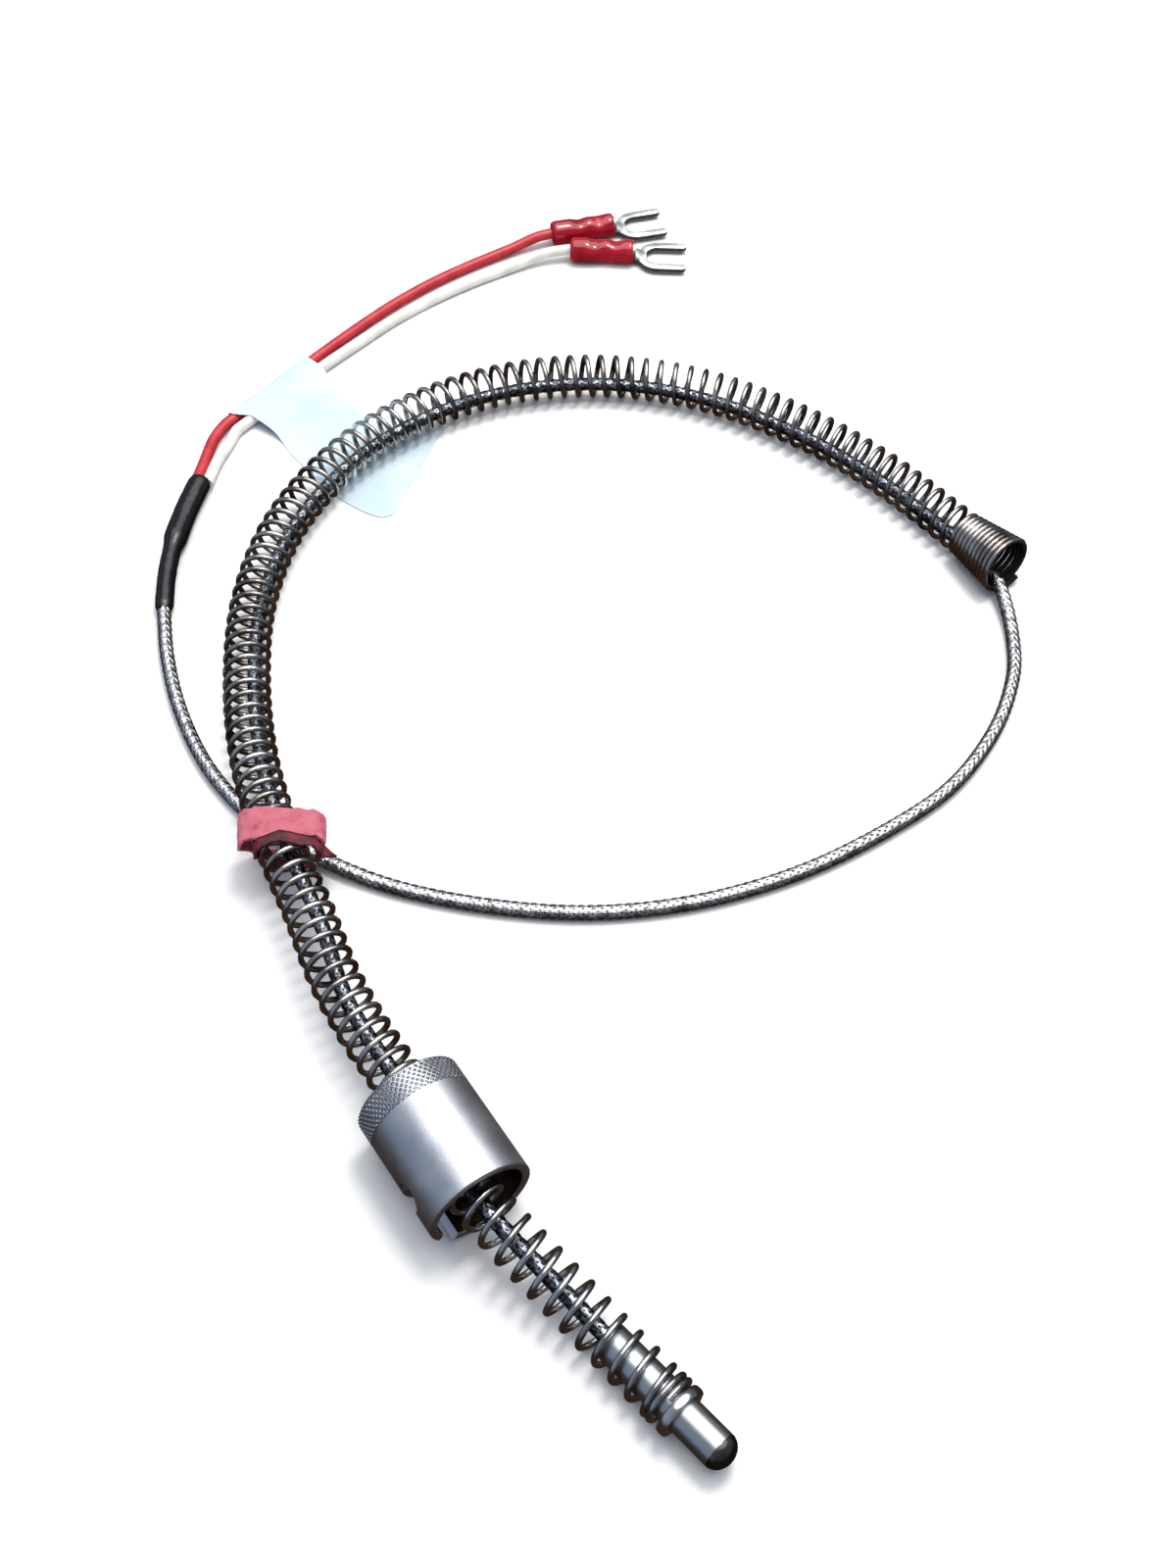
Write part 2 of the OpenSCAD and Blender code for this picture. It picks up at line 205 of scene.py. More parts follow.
# What shows between the carriers: the wire insulation under the braid, drawn near black and matt
braid_core, tree, shader = new_material("cable_core_insulation", "#14110f", 0.0, 0.9)
place = add_node(tree, "TexCoord")
core_mottle = add_node(tree, "TexNoise", {"Vector": place.outputs["Object"], "Scale": 1.2 / MM})
tone = add_node(tree, "ValToRGB", {"Fac": core_mottle.outputs["Fac"]})
set_stops(tone, (0, "#040303"), (1, "#171310"))
tree.links.new(tone.outputs["Color"], shader.inputs["Base Color"])

# Painted shade: a darker, bluish-grey copy of the same braid, for where it lies inside the springs
braid_painted_shade, tree, shader = new_material("braided_wire_painted_shade", "#777c84", 1.0, 0.26)
place = add_node(tree, "TexCoord")
mottle_noise = add_node(tree, "TexNoise", {"Vector": place.outputs["Object"], "Scale": 1.1 / MM, "Detail": 2.0})
tone = add_node(tree, "ValToRGB", {"Fac": mottle_noise.outputs["Fac"]})
set_stops(tone, (0.4, "#454a52"), (0.66, "#b9bec6"))
tree.links.new(tone.outputs["Color"], shader.inputs["Base Color"])

CARRIERS = 8  # each way round
LAY = 10.5 * MM  # the length in which a carrier goes once round
CORE_R, BRAID_R = 0.86 * MM, 0.99 * MM
HALF_WIDE = 0.215 * MM  # half a carrier's width
HEAVE, THICK = 0.055 * MM, 0.05 * MM  # how far a carrier rises over a crossing, and half its thickness


def braid(bm, run, start, end):
    """Dark core and sixteen woven carriers round a run, from one distance to another."""
    n = ceil((end - start) / (1.2 * MM))

    def core(i, k):
        s = start + (end - start) * i / n
        along, level, up = run.axes(s)
        return run.at(s) + CORE_R * (cos(2 * pi * k / 8) * level + sin(2 * pi * k / 8) * up)

    roll_up(bm, n, 8, core, 1)
    slope = atan2(2 * pi * BRAID_R, LAY)
    rings = ceil((end - start) / LAY * 2 * CARRIERS * 2.5)
    for way in (1, -1):
        for c in range(CARRIERS):
            def carrier(i, k):
                w, lift = ((1, 0), (0, 1), (-1, 0), (0, -1))[k]
                s = start + (end - start) * i / rings
                turn = way * 2 * pi * (s - start) / LAY + 2 * pi * c / CARRIERS
                crossing = 2 * (s - start) / LAY * CARRIERS
                over = way * sin(pi / 2 * (2 * c + way * crossing + 0.5))
                s -= way * w * HALF_WIDE * sin(slope)
                turn += w * HALF_WIDE * cos(slope) / BRAID_R
                r = BRAID_R + HEAVE * over + THICK * lift
                along, level, up = run.axes(s)
                return run.at(s) + r * (cos(turn) * level + sin(turn) * up)

            roll_up(bm, rings, 4, carrier, 0)


cable_run = Run([
    (56.9, 42.8, 2.6), (57.7, 39.5, 1.9), (58.2, 33, 1.15), (57.3, 25, 1.15), (53.3, 15, 1.15),
    (46, 5, 1.15), (36.3, -2.5, 1.15), (23.3, -9.8, 1.15), (9.3, -14.6, 1.15), (-5, -16.6, 1.15),
    (-19, -15.8, 1.15), (-33, -12.8, 1.15), (-43.5, -8.5, 1.4), (-49.5, -4.5, 1.45),
    (-56.5, 0.8, 1.2), (-62.8, 8.6, 1.15), (-67.8, 18.5, 1.15), (-71, 28.5, 1.3),
    (-72.7, 37.7, 1.5)])
bm = new_mesh()
braid(bm, cable_run, 0.1 * MM, cable_run.length - 0.1 * MM)
lead_cable = finish_piece("lead_cable_braid", bm, [braid_wire, braid_core], "armoured_lead",
                          ["lead_cable"], crease=70)

# ---------------------------------------------------------------- black sleeve
# A polyolefin tube shrunk over the end of the braid and the start of the two leads, narrow on
# the one and wider on the other. It is glossy, with small puckers where it shrank unevenly.
sleeve_black, tree, shader = new_material("shrunk_polyolefin", "#0a0b0e", 0.0, 0.22)
place = add_node(tree, "TexCoord")
pucker = add_node(tree, "TexNoise", {"Vector": place.outputs["Object"], "Scale": 0.42 / MM,
                                     "Detail": 3.0})
bump = add_node(tree, "Bump", {"Height": pucker.outputs["Fac"], "Strength": 0.3, "Distance": 0.3 * MM})
tree.links.new(bump.outputs["Normal"], shader.inputs["Normal"])
gloss = add_node(tree, "MapRange", {"Value": pucker.outputs["Fac"], 3: 0.16, 4: 0.36})
tree.links.new(gloss.outputs[0], shader.inputs["Roughness"])

sleeve_run = Run([(-72.7, 37.7, 1.5), (-73.1, 45, 1.75), (-72.8, 51, 1.95), (-71.8, 58, 1.95),
                  (-70.2, 65, 1.95)])


def ease(x):
    x = max(0.0, min(1.0, x))
    return x * x * (3 - 2 * x)


def sleeve_skin(i, k):
    s = sleeve_run.length * i / 70
    along, level, up = sleeve_run.axes(s)
    mm = s / MM
    r = 1.43 + 0.44 * ease((mm - 12) / 3)
    r -= 0.3 * exp(-(mm / 0.5) ** 2) + 0.25 * exp(-((mm - sleeve_run.length / MM) / 0.4) ** 2)
    r += 0.05 * noise.noise(Vector((mm * 0.9, k * 0.5, 3.0)))
    q = 2 * pi * k / 24
    oval = 0.16 * ease((mm - 14) / 5)
    return sleeve_run.at(s) + MM * (r * cos(q) * level + (r - oval) * sin(q) * up - oval * 0.3 * up)


bm = new_mesh()
roll_up(bm, 70, 24, sleeve_skin)
sleeve = finish_piece("shrunk_sleeve_skin", bm, [sleeve_black], "armoured_lead", ["shrink_sleeve"],
                      crease=60)
tuple(cable_run.at(0.2 * MM))
[tuple(cable_run.at(cable_run.length * i / 160)) for i in range(161)]

# ---------------------------------------------------------------- two leads
# Stranded conductors in extruded insulation, 1.9 mm across: red for one leg of the thermocouple
# and ivory for the other. They run side by side, through the paper flag, to their terminals.
red_insulation, tree, shader = new_material("red_extruded_insulation", "#c02a34", 0.0, 0.42)
place = add_node(tree, "TexCoord")
rub = add_node(tree, "TexNoise", {"Vector": place.outputs["Object"], "Scale": 0.35 / MM, "Detail": 4.0})
tone = add_node(tree, "ValToRGB", {"Fac": rub.outputs["Fac"]})
set_stops(tone, (0.3, "#b01f2b"), (0.75, "#cf3d45"))
tree.links.new(tone.outputs["Color"], shader.inputs["Base Color"])
bump = add_node(tree, "Bump", {"Height": rub.outputs["Fac"], "Strength": 0.12, "Distance": 0.2 * MM})
tree.links.new(bump.outputs["Normal"], shader.inputs["Normal"])

ivory_insulation, tree, shader = new_material("ivory_extruded_insulation", "#e4e1d6", 0.0, 0.42)
place = add_node(tree, "TexCoord")
rub = add_node(tree, "TexNoise", {"Vector": place.outputs["Object"], "Scale": 0.3 / MM, "Detail": 4.0})
tone = add_node(tree, "ValToRGB", {"Fac": rub.outputs["Fac"]})
set_stops(tone, (0.3, "#d9d6cc"), (0.7, "#f5f4ef"))
tree.links.new(tone.outputs["Color"], shader.inputs["Base Color"])
bump = add_node(tree, "Bump", {"Height": rub.outputs["Fac"], "Strength": 0.12, "Distance": 0.2 * MM})
tree.links.new(bump.outputs["Normal"], shader.inputs["Normal"])

red_run = Run([
    (-71, 64.9, 1.75), (-70.3, 69, 1.5), (-69.4, 75, 1.2), (-67.9, 78.6, 1.15), (-66.7, 80.1, 1.15),
    (-60.8, 87.1, 1.15), (-55, 93.8, 1.15), (-48.4, 101.4, 1.1), (-41.8, 108.5, 1), (-35, 114.5, 1),
    (-28, 119.5, 1), (-21, 123.6, 1.3), (-16.5, 125.8, 2.1), (-13.6, 126.8, 2.2)])
white_run = Run([
    (-69.1, 64.5, 1.75), (-68.1, 70, 1.4), (-66.8, 74, 1.2), (-65.8, 77.2, 1.15), (-64.7, 78.6, 1.15),
    (-59, 85.4, 1.15), (-53.2, 92.2, 1.15), (-47.1, 98.7, 1.1), (-41, 105, 1), (-34.6, 110.3, 1),
    (-28, 114.8, 1), (-21, 118.8, 1.05), (-15.2, 121.4, 1.9), (-10.2, 122.4, 2.2)])


LEAD_R = 0.94 * MM


def lead(name, run, material, node):
    def skin(i, k):
        s = run.length * i / 110
        along, level, up = run.axes(s)
        return run.at(s) + LEAD_R * (cos(2 * pi * k / 16) * level + sin(2 * pi * k / 16) * up)

    bm = new_mesh()
    roll_up(bm, 110, 16, skin)
    return finish_piece(name, bm, [material], "armoured_lead", [node], crease=60)


lead_red = lead("red_lead_skin", red_run, red_insulation, "lead_red")
lead_white = lead("ivory_lead_skin", white_run, ivory_insulation, "lead_white")

# ---------------------------------------------------------------- terminal sleeves
# Soft red vinyl tubes slipped over the crimped barrels, belled at the lead's end. The crimping
# tool has left dents along their tops.
vinyl_red, tree, shader = new_material("glossy_red_vinyl", "#b80f26", 0.0, 0.16, Coat_Weight=0.4)
place = add_node(tree, "TexCoord")
press = add_node(tree, "TexNoise", {"Vector": place.outputs["Object"], "Scale": 0.26 / MM, "Detail": 2.0})
tone = add_node(tree, "ValToRGB", {"Fac": press.outputs["Fac"]})
set_stops(tone, (0.3, "#7f0718"), (0.7, "#bb162e"))
tree.links.new(tone.outputs["Color"], shader.inputs["Base Color"])
bump = add_node(tree, "Bump", {"Height": press.outputs["Fac"], "Strength": 0.25, "Distance": 0.6 * MM})
tree.links.new(bump.outputs["Normal"], shader.inputs["Normal"])

red_place = Matrix.Translation(Vector((-13.6, 126.8, 2.2)) * MM) @ Matrix.Rotation(radians(13), 4, "Z")
white_place = Matrix.Translation(Vector((-10.2, 122.4, 2.2)) * MM) @ Matrix.Rotation(radians(-3), 4, "Z")


def vinyl_sleeve(name, place, node, dents):
    """The profile goes up the outside, over the front edge and back down the bore."""
    outer = [(0.1 + 11.3 * i / 40, None) for i in range(41)]
    inner = [(11.35, 1.75), (10.6, 1.6), (8, 1.56), (4.6, 1.5), (3.4, 1.1), (1, 1.05)]
    rows = outer + inner

    def skin(i, k):
        x, r = rows[i]
        q = 2 * pi * k / 32
        if r is None:
            r = 2.12 - 0.1 * ease((x - 3) / 2) + 0.06 * ease((x - 9.5) / 1.5)
            r -= 0.3 * exp(-((x - 0.1) / 0.3) ** 2) + 0.22 * exp(-((x - 11.4) / 0.25) ** 2)
            for at, way, deep in dents:
                facing = max(0.0, cos(q - radians(way)))
                r -= deep * exp(-((x - at) / 1.0) ** 2) * facing ** 3
        return place @ (Vector((x, r * cos(q), r * sin(q))) * MM)

    bm = new_mesh()
    roll_up(bm, len(rows) - 1, 32, skin)
    return finish_piece(name, bm, [vinyl_red], "armoured_lead", [node], crease=60)


vinyl_on_red = vinyl_sleeve("vinyl_on_red_lead", red_place, "vinyl_sleeve_red",
                            [(5.2, 80, 0.45), (8.6, 100, 0.5), (7.0, 190, 0.25)])
vinyl_on_white = vinyl_sleeve("vinyl_on_ivory_lead", white_place, "vinyl_sleeve_white",
                              [(4.6, 95, 0.35), (8.2, 75, 0.55), (6.4, 170, 0.25)])

# ---------------------------------------------------------------- fork terminals
# Blanked from 0.8 mm brass sheet, tinned dull grey-green, with the barrel rolled up behind a
# short neck. The open throat slips under an M4 or No. 8 screw head.
tin, tree, shader = new_material("tinned_brass_sheet", "#c9d1cc", 1.0, 0.5)
place = add_node(tree, "TexCoord")
flow = add_node(tree, "TexNoise", {"Vector": place.outputs["Object"], "Scale": 0.5 / MM, "Detail": 4.0})
tone = add_node(tree, "ValToRGB", {"Fac": flow.outputs["Fac"]})
set_stops(tone, (0.3, "#b0bbb5"), (0.7, "#e0e6e2"))
tree.links.new(tone.outputs["Color"], shader.inputs["Base Color"])
bump = add_node(tree, "Bump", {"Height": flow.outputs["Fac"], "Strength": 0.2, "Distance": 0.2 * MM})
tree.links.new(bump.outputs["Normal"], shader.inputs["Normal"])


def arc(x, y, r, a, b, n):
    return [(x + r * cos(radians(a + (b - a) * i / n)), y + r * sin(radians(a + (b - a) * i / n)))
            for i in range(n + 1)]


def fork(name, place, node):
    bm = new_mesh()
    outline = [(11.6, -1.3), (12.4, -1.35)] + arc(15.8, 0, 3.6, 214, 270, 8)
    outline += [(20.0, -3.6)] + arc(20.25, -2.88, 0.72, -90, 90, 8) + [(20.0, -2.15)]
    outline += arc(15.8, 0, 2.15, 270, 90, 20)
    outline += [(20.0, 2.15)] + arc(20.25, 2.88, 0.72, -90, 90, 8) + [(20.0, 3.6)]
    outline += arc(15.8, 0, 3.6, 90, 146, 8) + [(12.4, 1.35), (11.6, 1.3)]
    plate = bm.faces.new([bm.verts.new((x, y, -1.5)) for x, y in outline])
    up = bmesh.ops.extrude_face_region(bm, geom=[plate])["geom"]
    bmesh.ops.translate(bm, vec=(0, 0, 0.8), verts=[v for v in up if isinstance(v, bmesh.types.BMVert)])
    bmesh.ops.remove_doubles(bm, verts=bm.verts[:], dist=0.001)
    bmesh.ops.recalc_face_normals(bm, faces=bm.faces[:])
    rim = [e for e in bm.edges if e.calc_face_angle(0) > radians(60)]
    bmesh.ops.bevel(bm, geom=rim, offset=0.12, offset_type="OFFSET", affect="EDGES", segments=2,
                    profile=0.5, material=-1)
    # the barrel, and the neck that flattens out of it
    def barrel(i, k):
        x = 5.2 + 6.7 * i / 10
        q = 2 * pi * k / 28
        r = 1.5 - 0.14 * (x > 11.8)
        return Vector((x, r * cos(q), r * sin(q)))
    roll_up(bm, 10, 28, barrel)

    def neck(i, k):
        t = i / 8
        q = 2 * pi * k / 16
        wide, tall = 1.42 + 0.1 * t, 0.9 * (1 - ease(t)) + 0.4 * ease(t)
        mid = -0.6 * (1 - ease(t)) - 1.1 * ease(t)
        return Vector((11.4 + 2.4 * t, wide * cos(q), mid + tall * sin(q)))
    roll_up(bm, 8, 16, neck)
    bmesh.ops.transform(bm, matrix=place @ Matrix.Scale(MM, 4), verts=bm.verts[:])
    return finish_piece(name, bm, [tin], "armoured_lead", [node], crease=35)


fork_red = fork("fork_on_red_lead", red_place, "fork_terminal_red")
fork_white = fork("fork_on_ivory_lead", white_place, "fork_terminal_white")

# Bare strands inside the barrels: drawn alloy wire, one dull and warm, one greyer
for node, colour in (("conductor_red", "#a3907c"), ("conductor_white", "#8d8d90")):
    strands, tree, shader = new_material(node + "_strands", colour, 1.0, 0.3)
    place = add_node(tree, "TexCoord")
    twist = add_node(tree, "TexWave", {"Vector": place.outputs["Object"], "Scale": 0.9 / MM})
    bump = add_node(tree, "Bump", {"Height": twist.outputs["Fac"], "Strength": 0.4, "Distance": 0.1 * MM})
    tree.links.new(bump.outputs["Normal"], shader.inputs["Normal"])
    dress_node(node, strands)
tuple(red_run.at(0))
[tuple(red_run.at(red_run.length * i / 90)) for i in range(91)]
tuple(white_run.at(0))
[tuple(white_run.at(white_run.length * i / 90)) for i in range(91)]

# ---------------------------------------------------------------- armour spring
# One right-handed coil of 0.85 mm stainless spring wire, 7.2 mm over the coils. It is open
# wound so that the cap can be screwed along it, and ends in close turns that flare out.
# The wire is bright where it is rubbed and brown with drawing soap elsewhere.
spring_dark, tree, shader = new_material("drawn_spring_wire", "#8c8681", 1.0, 0.2)
place = add_node(tree, "TexCoord")
mottle_noise = add_node(tree, "TexNoise", {"Vector": place.outputs["Object"], "Scale": 0.16 / MM, "Detail": 3.0})
tone = add_node(tree, "ValToRGB", {"Fac": mottle_noise.outputs["Fac"]})
set_stops(tone, (0.32, "#7b7168"), (0.66, "#d9d6d2"))
tree.links.new(tone.outputs["Color"], shader.inputs["Base Color"])
rough = add_node(tree, "MapRange", {"Value": mottle_noise.outputs["Fac"], 3: 0.14, 4: 0.3})
tree.links.new(rough.outputs[0], shader.inputs["Roughness"])

spring_bright, tree, shader = new_material("clean_spring_wire", "#bcbdc0", 1.0, 0.18)
place = add_node(tree, "TexCoord")
mottle_noise = add_node(tree, "TexNoise", {"Vector": place.outputs["Object"], "Scale": 0.18 / MM, "Detail": 3.0})
tone = add_node(tree, "ValToRGB", {"Fac": mottle_noise.outputs["Fac"]})
set_stops(tone, (0.32, "#a09d9c"), (0.68, "#cfd0d3"))
tree.links.new(tone.outputs["Color"], shader.inputs["Base Color"])
rough = add_node(tree, "MapRange", {"Value": mottle_noise.outputs["Fac"], 3: 0.12, 4: 0.26})
tree.links.new(rough.outputs[0], shader.inputs["Roughness"])

cap_at, cap_az = Vector((-20, -61.5, 7.3)), radians(-56)
cap_dir = Vector((cos(cap_az), sin(cap_az), 0))
tip_at, tip_az = Vector((9.4, -91.2, 3.6)), radians(-45.5)
tip_dir = Vector((cos(tip_az), sin(tip_az), 0))
WIRE_R, COIL_R = 0.425, 3.175
PITCH, FRONT_PITCH, CLOSE_PITCH = 2.5, 2.75, 0.9
rear_run = Run([
    cap_at - 9 * cap_dir, cap_at - 16 * cap_dir, cap_at - 23 * cap_dir, cap_at - 29 * cap_dir,
    (-40.6, -29.6, 7.2), (-44.6, -20, 6.9), (-50, -8, 6.6), (-54.8, 6, 5.6), (-57.8, 22, 4.1),
    (-58.3, 38, 3.9), (-54.8, 54, 3.9), (-46, 69, 4), (-33.5, 79.8, 4), (-19, 86, 3.9),
    (-3, 87.5, 3.75), (13, 84, 3.7), (28, 75.8, 3.7), (40.5, 65.4, 3.7), (51.5, 52.7, 3.9),
    (58.1, 43.7, 5)])
front_run = Run([
    cap_at - 9 * cap_dir, cap_at - 4 * cap_dir, cap_at, (-16.7, -65.2, 6.9), (-13.2, -68.6, 5.9),
    (-9.8, -71.8, 4.8), (-6.4, -75.1, 3.9), tip_at - 17 * tip_dir, tip_at - 11 * tip_dir,
    tip_at - 9.5 * tip_dir])


def coil(bm, run, turns, place, per_turn=24, sides=8):
    """Round wire along a helix on a run. place(t) gives distance, angle and radius after t turns."""
    rings = round(turns * per_turn)

    def centre(i):
        s, angle, r = place(turns * i / rings)
        along, level, up = run.axes(s * MM)
        return run.at(s * MM) + r * MM * (cos(angle) * level + sin(angle) * up), run.at(s * MM)

    line = [centre(i) for i in range(rings + 1)]

    def skin(i, k):
        ahead = (line[min(i + 1, rings)][0] - line[max(i - 1, 0)][0]).normalized()
        out = (line[i][0] - line[i][1]).normalized()
        side = ahead.cross(out).normalized()
        out = side.cross(ahead)
        q = 2 * pi * k / sides
        return line[i][0] + WIRE_R * MM * (cos(q) * out + sin(q) * side)

    roll_up(bm, rings, sides, skin)


FLARE_TURNS, FLARE = 10.6, 1.2  # close turns at the rear, and how much wider the last one is
rear_length = rear_run.length / MM
open_length = rear_length - FLARE_TURNS * CLOSE_PITCH
open_turns = open_length / PITCH


def rear_place(t):
    if t <= open_turns:
        return t * PITCH, 2 * pi * t, COIL_R
    f = t - open_turns
    return open_length + f * CLOSE_PITCH, 2 * pi * t, COIL_R + FLARE * min(f / FLARE_TURNS, 1.0)


# Painted shade, black and dull, on the inner side of the close turns inside the flare
spring_flare_shade, tree, shader = new_material("flare_inner_painted_shade", "#1b1613", 0.2, 0.85)
place = add_node(tree, "TexCoord")
mottle_noise = add_node(tree, "TexNoise", {"Vector": place.outputs["Object"], "Scale": 0.4 / MM, "Detail": 3.0})
tone = add_node(tree, "ValToRGB", {"Fac": mottle_noise.outputs["Fac"]})
set_stops(tone, (0.35, "#0b0907"), (0.8, "#29221c"))
tree.links.new(tone.outputs["Color"], shader.inputs["Base Color"])

bm = new_mesh()
coil(bm, rear_run, open_turns + FLARE_TURNS, rear_place)
bmesh.ops.recalc_face_normals(bm, faces=bm.faces[:])
# Faces on the inner side of the flare's close turns get the second material: painted shade in the flare's
# mouth
mouth, mouth_dir = rear_run.at(rear_run.length), rear_run.axes(rear_run.length)[0]
for f in bm.faces:
    from_mouth = f.calc_center_median() - mouth
    depth = -from_mouth.dot(mouth_dir)
    if abs(depth) < 8.8 * MM and from_mouth.length < 12 * MM:
        outward = (from_mouth + mouth_dir * depth).normalized()
        f.material_index = int(f.normal.dot(outward) < 0.15)
finish_piece("rear_armour_spring", bm, [spring_dark, spring_flare_shade], "armoured_lead", ["rear_spring"],
             crease=60)

# In front, four turns at the rear's pitch pass through the cap, then wider ones, then close ones
CAP_TURNS, END_TURNS = 4, 1.9
front_length = front_run.length / MM
front_open = front_length - END_TURNS * CLOSE_PITCH
front_turns = CAP_TURNS + (front_open - CAP_TURNS * PITCH) / FRONT_PITCH


def front_place(t):
    if t < CAP_TURNS:
        s = t * PITCH
    elif t < front_turns:
        s = CAP_TURNS * PITCH + (t - CAP_TURNS) * FRONT_PITCH
    else:
        s = front_open + (t - front_turns) * CLOSE_PITCH
    return s, pi + 2 * pi * t, COIL_R - 0.02


bm = new_mesh()
coil(bm, front_run, front_turns + END_TURNS, front_place, per_turn=32, sides=12)
front_spring = finish_piece("front_armour_spring", bm, [spring_bright], None, ["front_spring"],
                            crease=60)
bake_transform(front_spring)

# ---------------------------------------------------------------- cable inside the spring
# The same braided cable, lying low and on the inside of the bend, where the spring's curve
# leaves it. In front it runs down the middle and into the closed tube.
inner_points = []
for i in range(241):
    s = (0.05 + (rear_length - 0.05) * i / 240)
    along, level, up = rear_run.axes(s * MM)
    g, h = ease((s - 22) / 14), ease((s - rear_length + 10) / 10)
    inner_points.append(rear_run.at(s * MM) / MM - level * (g + 0.5 * h) - up * (0.9 * g + 1.4 * h))
inner_points[-1] = Vector((56.9, 42.8, 2.6))
inner_run = Run(inner_points, drawn=True)
# the cable inside the springs takes the painted-shade copy of the braid
bm = new_mesh()
braid(bm, inner_run, 0, inner_run.length)
finish_piece("cable_in_rear_spring", bm, [braid_painted_shade, braid_core], "armoured_lead", ["cable_inner"],
             crease=70)

front_points = [front_run.at((front_length - 10.5) * MM * i / 8) / MM for i in range(9)]
front_cable_run = Run(front_points + [tip_at - 15.3 * tip_dir])
bm = new_mesh()
braid(bm, front_cable_run, 0, front_cable_run.length)
front_cable = finish_piece("cable_in_front_spring", bm, [braid_painted_shade, braid_core], None, ["cable_front"],
                           crease=70)
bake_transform(front_cable)

# ---------------------------------------------------------------- closed tube and collar
# A drawn stainless tube, 4.76 mm across, closed by a domed plug that is welded and left darker.
# A plain collar is brazed on it, and the spring's last turns bear on the collar.
tube_steel, tree, shader = new_material("drawn_stainless_tube", "#b9bdc0", 1.0, 0.3)
place = add_node(tree, "TexCoord")
turned_about = add_node(tree, "Mapping", {"Vector": place.outputs["Object"],
                                          "Rotation": (0, 0, -tip_az),
                                          "Scale": (0.06 / MM, 1.6 / MM, 1.6 / MM)})
draw = add_node(tree, "TexNoise", {"Vector": turned_about.outputs["Vector"], "Scale": 1.0,
                                   "Detail": 2.0})
bump = add_node(tree, "Bump", {"Height": draw.outputs["Fac"], "Strength": 0.08, "Distance": 0.1 * MM})
tree.links.new(bump.outputs["Normal"], shader.inputs["Normal"])
rough = add_node(tree, "MapRange", {"Value": draw.outputs["Fac"], 3: 0.24, 4: 0.38})
tree.links.new(rough.outputs[0], shader.inputs["Roughness"])

tube_nose, tree, shader = new_material("welded_tube_nose", "#5a5654", 1.0, 0.24)
place = add_node(tree, "TexCoord")
heat = add_node(tree, "TexNoise", {"Vector": place.outputs["Object"], "Scale": 0.7 / MM, "Detail": 3.0})
tone = add_node(tree, "ValToRGB", {"Fac": heat.outputs["Fac"]})
set_stops(tone, (0.3, "#3c3836"), (0.75, "#7d7977"))
tree.links.new(tone.outputs["Color"], shader.inputs["Base Color"])

cap_place = (Matrix.Translation(cap_at * MM) @ Matrix.Rotation(cap_az, 4, "Z")
             @ Matrix.Rotation(radians(90), 4, "Y") @ Matrix.Scale(MM, 4))
tip_place = (Matrix.Translation(tip_at * MM) @ Matrix.Rotation(tip_az, 4, "Z")
             @ Matrix.Rotation(radians(90), 4, "Y") @ Matrix.Scale(MM, 4))


def turn_profile(bm, profile, steps=64, closed=True):
    """Turns a profile of (radius, height) round the local axis, as a lathe does."""
    corners = [bm.verts.new((r, 0, z)) for r, z in profile]
    edges = [bm.edges.new(pair) for pair in zip(corners, corners[1:])]
    if closed:
        edges.append(bm.edges.new((corners[-1], corners[0])))
    bmesh.ops.spin(bm, geom=corners + edges, cent=(0, 0, 0), axis=(0, 0, 1), angle=2 * pi,
                   steps=steps, use_merge=True)
    bmesh.ops.remove_doubles(bm, verts=bm.verts[:], dist=0.0005)


bm = new_mesh()
TUBE_R = 2.38
dome = [(TUBE_R * sin(radians(a)), -2 + 2 * cos(radians(a))) for a in range(0, 91, 6)]
seat = [(TUBE_R, -7.48), (2.18, -7.48), (2.18, -8.92), (TUBE_R, -8.92)]
bore = [(1.78, -20), (1.78, -2.4), (0.9, -1.2), (0, -1.2)]
turn_profile(bm, dome + [(TUBE_R, -2.3)] + seat + [(TUBE_R, -19.8), (2.3, -20)] + bore, closed=False)
for f in bm.faces:
    f.material_index = 1 if f.calc_center_median().z > -1.9 else 0
bmesh.ops.transform(bm, matrix=tip_place, verts=bm.verts[:])
finish_piece("closed_probe_tube", bm, [tube_steel, tube_nose], "tip", ["probe_tube"])

bm = new_mesh()
turn_profile(bm, [(2.2, -7.5), (3.1, -7.5), (3.36, -7.6), (3.48, -7.85), (3.5, -8.2), (3.48, -8.6),
                  (3.36, -8.82), (3.2, -8.9), (2.2, -8.9)])
bmesh.ops.transform(bm, matrix=tip_place, verts=bm.verts[:])
finish_piece("brazed_stop_collar", bm, [spring_bright], "tip", ["stop_collar"])

# ---------------------------------------------------------------- inside the tube
# A weld bead joins the two sensing wires, which run back through a two-hole ceramic insulator.
# Cement holds the cable in the tube's mouth. None of it shows while the tube is whole.
for node, name, colour, metal, rough, grain in (
        ("hot_junction", "welded_junction_bead", "#8a8078", 1.0, 0.45, 1.8),
        ("wire_positive", "iron_sensing_wire", "#85868a", 1.0, 0.35, 1.5),
        ("wire_negative", "alloy_sensing_wire", "#a1917d", 1.0, 0.35, 1.5),
        ("tip_insulator", "fired_ceramic", "#e6e1d3", 0.0, 0.75, 1.2),
        ("potting_plug", "set_cement", "#cfc8b5", 0.0, 0.9, 0.9)):
    inside, tree, shader = new_material(name, colour, metal, rough)
    place = add_node(tree, "TexCoord")
    speck = add_node(tree, "TexNoise", {"Vector": place.outputs["Object"], "Scale": grain / MM,
                                        "Detail": 3.0})
    bump = add_node(tree, "Bump", {"Height": speck.outputs["Fac"], "Strength": 0.3, "Distance": 0.1 * MM})
    tree.links.new(bump.outputs["Normal"], shader.inputs["Normal"])
    dress_node(node, inside)

